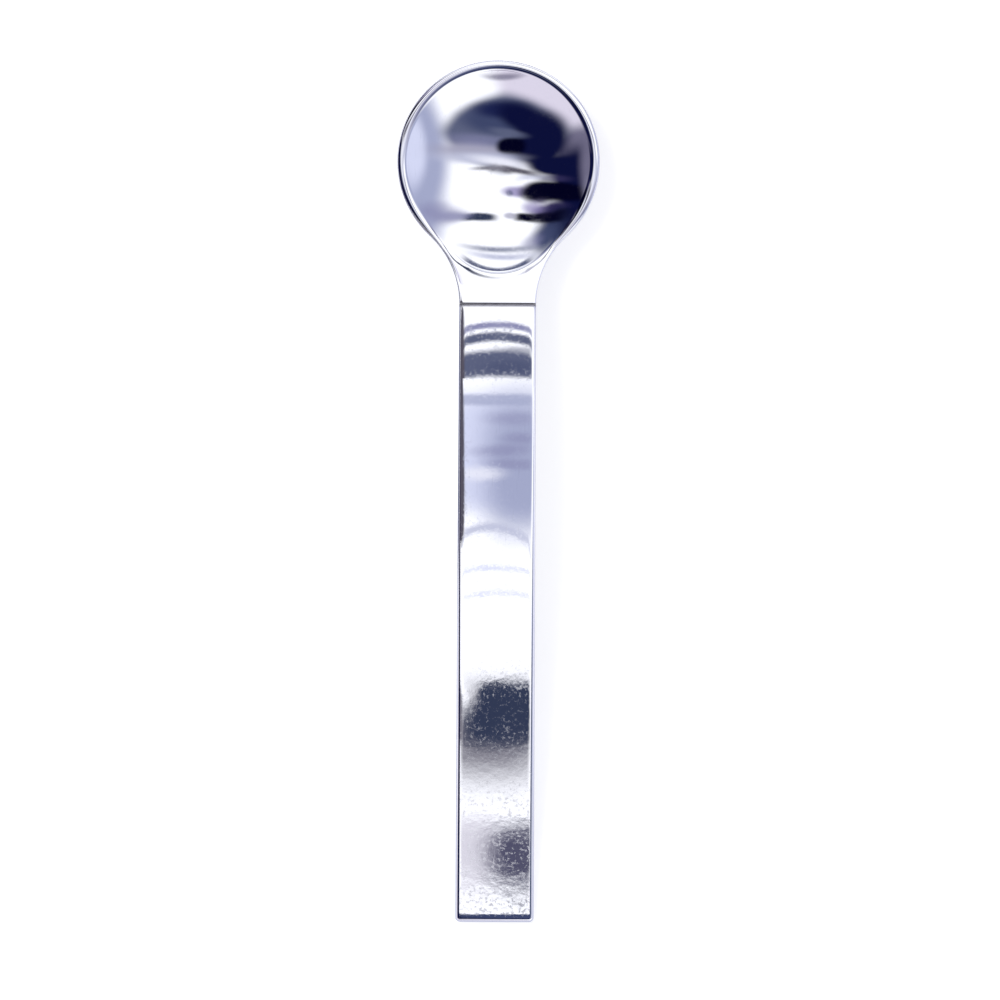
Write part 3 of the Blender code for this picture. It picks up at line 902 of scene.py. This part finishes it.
@dataclass(frozen=True)
class MirrorSteel:
    """Polished stainless steel: a bright mirror with faint haze, hairline scratches, and a darker, rougher
    band at the seam: painted shade of the crease there, with some dirt.
    """

    name: str
    group: bpy.types.NodeTree
    seam_y: float
    colour: Colour = (0.83, 0.84, 0.89)
    scratched: Colour = (0.80, 0.81, 0.86)
    # Colour of the painted shade along the seam, with some dirt in it.
    seam_shade_and_dirt: Colour = (0.34, 0.33, 0.37)
    roughness: float = 0.035
    haze_roughness: float = 0.05
    scratch_roughness: float = 0.05
    grime_roughness: float = 0.45
    # The most that the seam band darkens the colour (painted shade) and roughens it (dirt).
    seam_shade_and_dirt_cover: float = 0.85
    seam_reach: float = 0.00045
    full_seam_shade_and_dirt_share: float = 0.35
    bump: float = 0.02
    bump_distance: float = 0.00002
    flecks: float = 0.03

    def build(self) -> bpy.types.Material:
        """Make the material."""
        material, sheet = new_material(self.name)
        place = sheet.place()
        marks = sheet.add("ShaderNodeGroup", {"Vector": place}, node_tree=self.group)
        off_seam = sheet.math("ABSOLUTE", sheet.math("SUBTRACT", sheet.axes(place)["Y"], self.seam_y))
        # Band along the seam, full within a share of its reach: painted shade of the crease, darker in
        # colour, with dirt that also roughens it.
        full_reach = self.seam_reach * self.full_seam_shade_and_dirt_share
        seam_shade_and_dirt_mask = sheet.ramp(off_seam, full_reach, self.seam_reach, self.seam_shade_and_dirt_cover, 0.0)
        steel = sheet.mix(marks["Scratch"], opaque(self.colour), opaque(self.scratched))
        rough = self.roughness
        for mask, amount in ((marks["Haze"], self.haze_roughness), (marks["Scratch"], self.scratch_roughness),
                             (marks["Fleck"], self.flecks), (seam_shade_and_dirt_mask, self.grime_roughness)):
            rough = sheet.math("MULTIPLY_ADD", mask, amount, rough)
        bump = sheet.add("ShaderNodeBump", {"Strength": self.bump, "Distance": self.bump_distance,
                                            "Height": marks["Height"]})
        # The base colour is darkened along the seam: painted shade of the crease.
        sheet.feed(material.node_tree.nodes["Principled BSDF"], {
            "Metallic": 1.0, "Base Color": sheet.mix(seam_shade_and_dirt_mask, steel, opaque(self.seam_shade_and_dirt)), "Roughness": rough,
            "Normal": bump["Normal"]})
        return material


@dataclass(frozen=True)
class BrazeMetal:
    """The filler, dulled by flux and grime in its groove."""

    name: str = "braze_filler"
    colour: Colour = (0.44, 0.43, 0.46)
    stained: Colour = (0.30, 0.29, 0.32)
    roughness: float = 0.38
    stain_roughness: float = 0.2

    def build(self) -> bpy.types.Material:
        """Make the material."""
        material, sheet = new_material(self.name)
        stain = sheet.ramp(sheet.noise(sheet.place(), scale=1400.0, detail=3.0), low=0.4, high=0.7)
        sheet.feed(material.node_tree.nodes["Principled BSDF"], {
            "Metallic": 1.0, "Base Color": sheet.mix(stain, opaque(self.colour), opaque(self.stained)),
            "Roughness": sheet.math("MULTIPLY_ADD", stain, self.stain_roughness, self.roughness)})
        return material


class Tone(Enum):
    """The tones of the studio's dome, cards and mat, as the light that they send."""

    WHITE = (1.30, 1.30, 1.32)
    BRIGHT = (1.02, 1.02, 1.10)
    ROSE = (0.86, 0.80, 0.92)
    MIST = (0.80, 0.83, 1.03)
    PEARL = (0.73, 0.69, 0.77)
    PALE = (0.62, 0.64, 0.80)
    HEATHER = (0.45, 0.44, 0.56)
    LAVENDER = (0.44, 0.47, 0.66)
    VIOLET = (0.36, 0.31, 0.57)
    DUSK = (0.31, 0.31, 0.50)
    FOG = (0.28, 0.30, 0.40)
    GREY = (0.24, 0.23, 0.27)
    MAUVE_GREY = (0.19, 0.175, 0.265)
    HAZE_BLUE = (0.125, 0.142, 0.235)
    CHARCOAL = (0.11, 0.10, 0.13)
    FLINT = (0.097, 0.095, 0.158)
    SLATE = (0.058, 0.074, 0.160)
    STORM = (0.038, 0.050, 0.098)
    MAUVE = (0.038, 0.031, 0.105)
    DEEP = (0.014, 0.020, 0.085)
    NAVY = (0.0044, 0.0062, 0.044)
    INK = (0.001, 0.001, 0.014)


@dataclass(frozen=True)
class Patch:
    """A soft-edged patch of tone on a card: an ellipse, or a block where its corner power is high.

    Its turn is in degrees, its soft edge and its bow are shares of its half size, and its cover is the
    share by which it hides what lies under it.
    """

    centre: Plan
    half: Plan
    tone: Tone
    soft: float = 0.25
    corner: float = 2.0
    turn: float = 0.0
    bow: float = 0.0
    cover: float = 1.0


DOME_PATCHES = (
    Patch((0, 0), (87, 87), Tone.WHITE, soft=0.02),
    Patch((0, 90), (40, 20), Tone.HAZE_BLUE, soft=0.25, corner=3),
    Patch((0, 12.6), (70.9, 70.9), Tone.WHITE, soft=0.01),
    Patch((104, 5), (50, 105), Tone.LAVENDER, soft=0.22),
    Patch((80, -8), (8, 34), Tone.MIST, soft=0.6),
    Patch((58, 46), (18, 6), Tone.DUSK, soft=0.7, cover=0.6),
    Patch((-44, -62), (56, 26), Tone.ROSE, soft=0.35, turn=-34),
    Patch((-76, -10), (17, 21), Tone.MAUVE_GREY, soft=0.4),
    Patch((-5, -28), (63, 39), Tone.HAZE_BLUE, soft=0.16, corner=1.55),
    Patch((28, -10), (36, 9.5), Tone.HEATHER, soft=0.6),
    Patch((24, -23), (28, 6), Tone.DUSK, soft=0.9, cover=0.5),
    Patch((0, -44), (38, 13), Tone.SLATE, soft=0.5),
    Patch((-2, -54), (26, 7), Tone.DEEP, soft=0.7),
    Patch((-42, -20), (27, 28), Tone.NAVY, soft=0.28),
    Patch((-26, -45), (28, 12), Tone.NAVY, soft=0.5, turn=-20),
    Patch((-14, -17), (16, 9.5), Tone.INK, soft=0.35, corner=2.4),
    Patch((-10, -31.5), (19, 4), Tone.HAZE_BLUE, soft=0.7, cover=0.9, turn=-11),
    Patch((20, -3), (38, 6), Tone.PALE, soft=0.9),
    Patch((-4, 1.5), (30, 5), Tone.BRIGHT, soft=0.9, turn=-9),
    Patch((-76, 24), (19, 36), Tone.NAVY, soft=0.35),
    Patch((-60, 6), (26, 11), Tone.NAVY, soft=0.35, turn=-4),
    Patch((-56, 19), (14, 3.5), Tone.MAUVE, soft=0.7, cover=0.8),
    Patch((-36, 17.5), (13, 2.6), Tone.PALE, soft=0.8, cover=0.7),
    Patch((-22, 28), (17, 4.5), Tone.VIOLET, soft=0.6, cover=0.9),
    Patch((-14, 29.5), (4, 2.2), Tone.HAZE_BLUE, soft=0.9, cover=0.8),
    Patch((-57, 30.5), (30, 8.3), Tone.INK, soft=0.3, corner=2.2, turn=-4),
    Patch((-54, 43), (14, 4), Tone.MAUVE, soft=0.5),
    Patch((-40, 41), (10, 4.5), Tone.VIOLET, soft=0.9, cover=0.8),
    Patch((-66, 54), (16, 12), Tone.NAVY, soft=0.45),
    Patch((-87, 12), (8, 34), Tone.MAUVE_GREY, soft=0.6, corner=3),
    Patch((-87, 42), (7, 22), Tone.HEATHER, soft=0.6, cover=0.8),
    Patch((-50, 61), (16, 8), Tone.SLATE, soft=0.8, turn=36),
    Patch((-36, 66), (12, 4), Tone.DUSK, soft=0.9, cover=0.6, turn=24),
    Patch((-43, 48.1), (24, 3.3), Tone.INK, soft=0.35, corner=4, turn=3.2),
    Patch((-14, 48.5), (7, 2.3), Tone.HEATHER, soft=0.6, cover=0.8),
    Patch((22.5, 49.1), (20, 3), Tone.STORM, soft=0.45, corner=3, turn=-3.2),
    Patch((50, 47), (17, 3), Tone.DUSK, soft=0.9, cover=0.8),
    Patch((-20, 10.4), (24, 2.8), Tone.CHARCOAL, soft=0.8, corner=3, turn=-11),
    Patch((10, 7.8), (18, 1.9), Tone.GREY, soft=0.9, corner=3, turn=3),
    Patch((-2, 72.8), (34, 1.5), Tone.FOG, soft=0.8, corner=3, bow=2.2),
    Patch((-4, 77.4), (30, 1.4), Tone.PALE, soft=0.9, corner=3, bow=2.2),
    Patch((-4, -78.5), (18, 2), Tone.MAUVE_GREY, soft=0.8, cover=0.8),
)

FRONT_BANDS = (
    Patch((0, 27.2), (8.5, 0.5), Tone.DUSK, soft=0.7, corner=4, bow=4),
    Patch((0, 25.3), (8.5, 0.75), Tone.HAZE_BLUE, soft=0.5, corner=4, bow=2.6),
    Patch((0, 20.9), (8.5, 2.1), Tone.HAZE_BLUE, soft=0.3, corner=4, bow=0.4),
    Patch((2, 20.2), (4, 1.2), Tone.SLATE, soft=0.9, cover=0.5),
    Patch((3.5, 23), (4, 0.7), Tone.HAZE_BLUE, soft=0.9, cover=0.6),
    Patch((-24.2, 23), (18, 9), Tone.CHARCOAL, soft=0.06, corner=6),
)

LOW_BANDS = (
    Patch((0, 6.4), (8.5, 9.6), Tone.MIST, soft=0.35, corner=4),
    Patch((5, 4.4), (7, 11), Tone.LAVENDER, soft=0.6, corner=3),
    Patch((0, 15), (8.5, 0.9), Tone.LAVENDER, soft=0.6, corner=4, cover=0.8),
    Patch((2.5, 12), (4, 1), Tone.DUSK, soft=0.9, cover=0.5),
    Patch((1, 6.8), (4.5, 0.9), Tone.DUSK, soft=0.9, cover=0.6, turn=3),
    Patch((4, 8.8), (3, 0.8), Tone.DUSK, soft=0.9, cover=0.6),
    Patch((2.8, 4.6), (4, 0.8), Tone.DUSK, soft=0.9, cover=0.6, turn=-3),
    Patch((-3, 3), (3.5, 1), Tone.BRIGHT, soft=0.9, cover=0.8),
    Patch((-1, -5.7), (9, 0.7), Tone.PALE, soft=0.9, corner=3, bow=6.4, cover=0.9),
    Patch((0, -12.4), (8.5, 0.4), Tone.MIST, soft=0.9, corner=3, bow=4, cover=0.8),
    Patch((0.5, -16.5), (6.5, 0.4), Tone.MIST, soft=0.9, corner=3, bow=2.5, cover=0.8),
    Patch((-1, -40.5), (10, 8), Tone.GREY, soft=0.75, corner=3),
    Patch((-7, -34.6), (2.7, 4.2), Tone.WHITE, soft=0.6),
    Patch((2.7, -35.8), (5.7, 4.5), Tone.STORM, soft=0.16, corner=5),
    Patch((1.2, -39.2), (7.4, 3.8), Tone.STORM, soft=0.5, corner=3),
    Patch((-4, -65.5), (5.5, 9), Tone.PEARL, soft=0.6, corner=3, cover=0.8),
    Patch((6, -67.5), (7.5, 10), Tone.FLINT, soft=0.5, corner=2.5),
    Patch((-24, 6), (18, 15), Tone.CHARCOAL, soft=0.06, corner=6),
    Patch((-16.4, -38), (10, 5), Tone.GREY, soft=0.3, corner=3),
)

MAT_PATCHES = (
    Patch((-0.045, 0.014), (0.040, 0.030), Tone.DEEP, soft=0.3, corner=4),
    Patch((0.004, 0.058), (0.034, 0.030), Tone.DUSK, soft=0.9),
    Patch((0, -0.010), (0.020, 0.075), Tone.LAVENDER, soft=0.9),
)


def patch_group() -> bpy.types.NodeTree:
    """Build the soft patch that the cards' tones are laid with.

    Returns:
        A group that lays a Tone over the colour Under, where Place is inside the patch.
    """
    inputs = {"Soft": 0.25, "Corner": 2.0, "Bow": 0.0, "Cover": 1.0}
    inputs |= dict.fromkeys(("Place", "Centre", "Half", "Turn"), "NodeSocketVector")
    inputs |= dict.fromkeys(("Under", "Tone"), "NodeSocketColor")
    sheet = new_group("soft_patch", inputs, {"Colour": "NodeSocketColor"})
    given = sheet.tree.nodes["Group Input"].outputs
    local = sheet.add("ShaderNodeMapping", {"Vector": given["Place"], "Location": given["Centre"],
                                            "Rotation": given["Turn"], "Scale": given["Half"]},
                      vector_type="TEXTURE")
    axes = sheet.axes(local["Vector"])
    bent = sheet.math("MULTIPLY_ADD", sheet.math("MULTIPLY", axes["X"], axes["X"]), given["Bow"], axes["Y"])
    powers = [sheet.math("POWER", sheet.math("ABSOLUTE", value), given["Corner"])
              for value in (axes["X"], bent)]
    away = sheet.math("POWER", sheet.math("ADD", *powers), sheet.math("DIVIDE", 1.0, given["Corner"]))
    inside = sheet.add("ShaderNodeMapRange", {
        "Value": away, "From Min": sheet.math("SUBTRACT", 1.0, given["Soft"]),
        "From Max": sheet.math("ADD", 1.0, given["Soft"]), "To Min": 1.0, "To Max": 0.0,
    }, interpolation_type="SMOOTHERSTEP")["Result"]
    laid = sheet.mix(sheet.math("MULTIPLY", inside, given["Cover"]), given["Under"], given["Tone"])
    sheet.feed(sheet.tree.nodes["Group Output"], {"Colour": laid})
    return sheet.tree


def degrees_from_up(sheet: NodeSheet, place: Socket) -> Socket:
    """Turn a direction into degrees from straight up, first towards +X, then towards +Y."""
    axes = sheet.axes(sheet.vector("NORMALIZE", {0: place}))
    tilt = sheet.math("MULTIPLY", sheet.math("ARCCOSINE", axes["Z"]), math.degrees(1.0))
    flat = sheet.add("ShaderNodeCombineXYZ", {"X": axes["X"], "Y": axes["Y"]})["Vector"]
    return sheet.vector("SCALE", {0: sheet.vector("NORMALIZE", {0: flat}), "Scale": tilt})


@dataclass(frozen=True)
class CardPaint:
    """The light that a card of the studio sends: soft patches over a base tone, the lowest patch first.

    The patches are given in the card's own coordinates, or in degrees from straight up as seen from its
    centre. A card that shines only below is clear to rays that meet its upper side.
    """

    group: bpy.types.NodeTree
    base: Tone
    patches: Sequence[Patch]
    in_degrees: bool = False
    only_below: bool = False

    def lay(self, card: bpy.types.Object) -> None:
        """Paint a card and show it to mirror rays alone."""
        material, sheet = new_material(card.name + "_tones", blank=True)
        place = sheet.place()
        if self.in_degrees:
            place = degrees_from_up(sheet, place)
        under: object = opaque(self.base.value)
        for patch in self.patches:
            values = {"Place": place, "Centre": (*patch.centre, 0.0), "Half": (*patch.half, 1.0),
                      "Turn": (0.0, 0.0, math.radians(patch.turn)), "Soft": patch.soft,
                      "Corner": patch.corner, "Bow": patch.bow, "Cover": patch.cover,
                      "Tone": opaque(patch.tone.value), "Under": under}
            under = sheet.add("ShaderNodeGroup", values, node_tree=self.group)["Colour"]
        shine = sheet.add("ShaderNodeEmission", {"Color": under})["Emission"]
        if self.only_below:
            side = sheet.add("ShaderNodeNewGeometry")["Backfacing"]
            clear = sheet.add("ShaderNodeBsdfTransparent")["BSDF"]
            shine = sheet.add("ShaderNodeMixShader", {0: side, 1: clear, 2: shine})["Shader"]
        sheet.add("ShaderNodeOutputMaterial", {"Surface": shine})
        card.data.materials.append(material)
        gloss_only(card)


def gloss_only(obj: bpy.types.Object) -> None:
    """Let only mirror reflections meet a card."""
    obj.visible_camera = False
    obj.visible_diffuse = False
    obj.visible_shadow = False
    obj.visible_transmission = False
    obj.visible_volume_scatter = False


@dataclass(frozen=True)
class Surround:
    """The dome of dark and light that the bowl mirrors.

    Patches are given in degrees from straight up, as seen from the bowl: first towards +X, then towards +Y.
    """

    group: bpy.types.NodeTree
    centre: Point = (0.0, 0.0536, 0.0094)
    radius: float = 0.5
    base: Tone = Tone.DUSK
    patches: Sequence[Patch] = DOME_PATCHES

    def build(self) -> None:
        """Set the dome up."""
        deselect_all()
        bpy.ops.mesh.primitive_uv_sphere_add(segments=64, ring_count=32, radius=self.radius,
                                             location=self.centre)
        dome = bpy.context.object
        dome.name = "surround_dome"
        with whole_mesh(dome):
            bpy.ops.mesh.bisect(plane_co=(0.0, 0.0, self.centre[2]), plane_no=(0.0, 0.0, 1.0),
                                clear_inner=True)
        bpy.ops.object.shade_smooth()
        CardPaint(self.group, self.base, self.patches, in_degrees=True).lay(dome)


@dataclass(frozen=True)
class TiltedCard:
    """A card above the handle, laid with the bands that the handle mirrors.

    Its plane runs just under the point where the rays that the bowl mirrors meet, and its upper side is
    clear, so the bowl doesn't show it. Bands are given by the place on the handle that shows them, in
    millimetres.
    """

    form: SpoonForm
    group: bpy.types.NodeTree
    name: str
    tilt: float
    front_y: float
    back_y: float
    bands: Sequence[Patch]
    base: Tone = Tone.WHITE
    half_width: float = 0.034
    line_z: float = 0.0082

    def height(self, y: float) -> float:
        """Return the card's height at y."""
        return self.line_z + math.tan(self.tilt) * (self.form.bowl_y - y)

    def lean(self, y: float) -> float:
        """Return the angle towards +Y at which the handle mirrors straight upward light at y."""
        step = self.form.slope_sample
        rise = self.form.handle_top(y + step) - self.form.handle_top(y - step)
        return -2 * math.atan(rise / (2 * step))

    def reach(self, y: float) -> float:
        """Return the distance from the handle at y to the card, along the mirrored ray."""
        rise = self.height(y) - self.form.handle_top(y)
        return rise / (math.cos(self.lean(y)) + math.tan(self.tilt) * math.sin(self.lean(y)))

    def seen_y(self, y: float) -> float:
        """Return the Y on the card that the handle mirrors at y to a camera above."""
        return y + self.reach(y) * math.sin(self.lean(y))

    def widening(self, y: float) -> float:
        """Return how much wider than on the handle a band is on the card."""
        return 1 + self.reach(y) * 4 * self.form.crown / self.form.neck_half ** 2

    def on_card(self, band: Patch) -> Patch:
        """Return a band moved from its place on the handle to its place on the card."""
        x, y, half_x, half_y = (value / MM_PER_METRE for value in (*band.centre, *band.half))
        front, back = self.seen_y(y + half_y), self.seen_y(y - half_y)
        wide = self.widening(y)
        centre = (x * wide, (front + back) / 2)
        return replace(band, centre=centre, half=(half_x * wide, abs(front - back) / 2))

    def build(self) -> None:
        """Set the card up."""
        card = add_grid(self.name, rows=8)
        middle, depth = (self.front_y + self.back_y) / 2, self.front_y - self.back_y
        for vertex in card.data.vertices:
            y = middle + vertex.co.y * depth
            vertex.co = (vertex.co.x * 2 * self.half_width, y, self.height(y))
        bands = [self.on_card(band) for band in self.bands]
        CardPaint(self.group, self.base, bands, only_below=True).lay(card)


def background_rays(sheet: NodeSheet) -> Socket:
    """Return 1 for camera, glossy and transmission rays, else 0."""
    path = sheet.add("ShaderNodeLightPath")
    seen = sheet.math("MAXIMUM", path["Is Camera Ray"], path["Is Glossy Ray"])
    return sheet.math("MAXIMUM", seen, path["Is Transmission Ray"])


@dataclass(frozen=True)
class Studio:
    """The floor, the world, the lamps and the cards that the polished steel mirrors."""

    form: SpoonForm
    white: Colour = (1.0, 1.0, 1.0)
    floor_half: float = 3.0
    floor_drop: float = 0.00006
    floor_colour: Colour = (0.86, 0.86, 0.87)
    floor_roughness: float = 0.9
    floor_lift: float = 0.35
    far_lift: float = 0.75
    lift_near: float = 0.15
    lift_far: float = 0.9
    world_diffuse: float = 0.62
    mat_size: float = 0.34
    mat_height: float = -0.00002

    def lay_floor(self) -> None:
        """Lay the pale floor, lifted towards white for camera and gloss, with the spoon's shadow on it."""
        floor = add_grid("studio_floor", size=2 * self.floor_half, height=-self.floor_drop)
        material, sheet = new_material("pale_floor")
        away = sheet.add("ShaderNodeVectorMath", {0: sheet.place()}, operation="LENGTH")["Value"]
        lift = sheet.ramp(away, self.lift_near, self.lift_far, self.floor_lift, self.far_lift)
        sheet.feed(material.node_tree.nodes["Principled BSDF"], {
            "Base Color": opaque(self.floor_colour), "Roughness": self.floor_roughness,
            "Specular IOR Level": 0.0, "Emission Color": opaque(self.white),
            "Emission Strength": sheet.math("MULTIPLY", background_rays(sheet), lift)})
        floor.data.materials.append(material)

    def light_world(self) -> None:
        """Surround the spoon with white, softer for diffuse light."""
        world = bpy.data.worlds.new("studio_world")
        bpy.context.scene.world = world
        world.use_nodes = True
        sheet = NodeSheet(world.node_tree)
        strength = sheet.math("MULTIPLY_ADD", background_rays(sheet), 1.0 - self.world_diffuse,
                              self.world_diffuse)
        sheet.feed(world.node_tree.nodes["Background"], {"Color": opaque(self.white), "Strength": strength})

    def hang_lamp(self, name: str, place: Point, size: float, watts: float) -> None:
        """Hang a square soft lamp that faces the spoon."""
        deselect_all()
        bpy.ops.object.light_add(type="AREA", location=place)
        lamp = bpy.context.object
        lamp.name = name
        lamp.data.size = size
        lamp.data.energy = watts
        lamp.visible_glossy = False
        reach = math.sqrt(sum(value ** 2 for value in place))
        lamp.rotation_euler = (math.acos(place[2] / reach), 0.0, math.atan2(place[0], -place[1]))

    def lay_mirror_mat(self, group: bpy.types.NodeTree) -> None:
        """Lay a toned mat on the floor that only the steel's sides and underside mirror.

        Its patches are given in metres.
        """
        mat = add_grid("mirror_mat", size=self.mat_size, height=self.mat_height)
        CardPaint(group, Tone.BRIGHT, MAT_PATCHES).lay(mat)

    def build(self) -> None:
        """Set the studio up."""
        self.lay_floor()
        self.light_world()
        self.hang_lamp("key_softbox", place=(-0.5, 0.3, 0.9), size=0.5, watts=5.0)
        self.hang_lamp("fill_softbox", place=(0.6, -0.2, 0.8), size=0.6, watts=2.5)
        group = patch_group()
        Surround(group).build()
        self.lay_mirror_mat(group)
        TiltedCard(self.form, group, "front_card", tilt=math.radians(32.0), front_y=0.038, back_y=0.010,
                   bands=FRONT_BANDS).build()
        TiltedCard(self.form, group, "low_card", tilt=math.radians(25.0), front_y=0.0208, back_y=-0.105,
                   bands=LOW_BANDS).build()


@dataclass(frozen=True)
class PhotoCamera:
    """The camera, straight above the spoon with a long lens, as in the photograph."""

    height: float = 1.5
    centre: Plan = (0.00054, -0.00127)
    roll: float = math.radians(0.31)
    view_width: float = 0.16215
    view_level: float = 0.008
    sensor: float = 36.0
    clip: tuple[float, float] = (0.01, 20.0)

    def build(self) -> None:
        """Hang the camera."""
        deselect_all()
        bpy.ops.object.camera_add(location=(*self.centre, self.height), rotation=(0.0, 0.0, self.roll))
        camera = bpy.context.object
        camera.name = "photo_camera"
        camera.data.sensor_width = self.sensor
        camera.data.lens = self.sensor * (self.height - self.view_level) / self.view_width
        camera.data.clip_start, camera.data.clip_end = self.clip
        bpy.context.scene.camera = camera


def main() -> None:
    """Build the spoon piece by piece, then the studio and the camera."""
    logging.basicConfig(level=logging.INFO, format="%(name)s: %(message)s")
    form = SpoonForm()
    marks = polishing_group()
    Bowl(form).set_up(MirrorSteel("bowl_mirror_steel", marks, form.shoulder_y).build())
    worn_steel = MirrorSteel("handle_mirror_steel", marks, form.shoulder_y, bump=1.0, flecks=0.12)
    Handle(form).set_up(worn_steel.build())
    BrazeSeam(form).set_up(BrazeMetal().build())
    Studio(form).build()
    PhotoCamera().build()
    bpy.context.scene.view_settings.view_transform = "Standard"


if __name__ == "__main__":
    main()
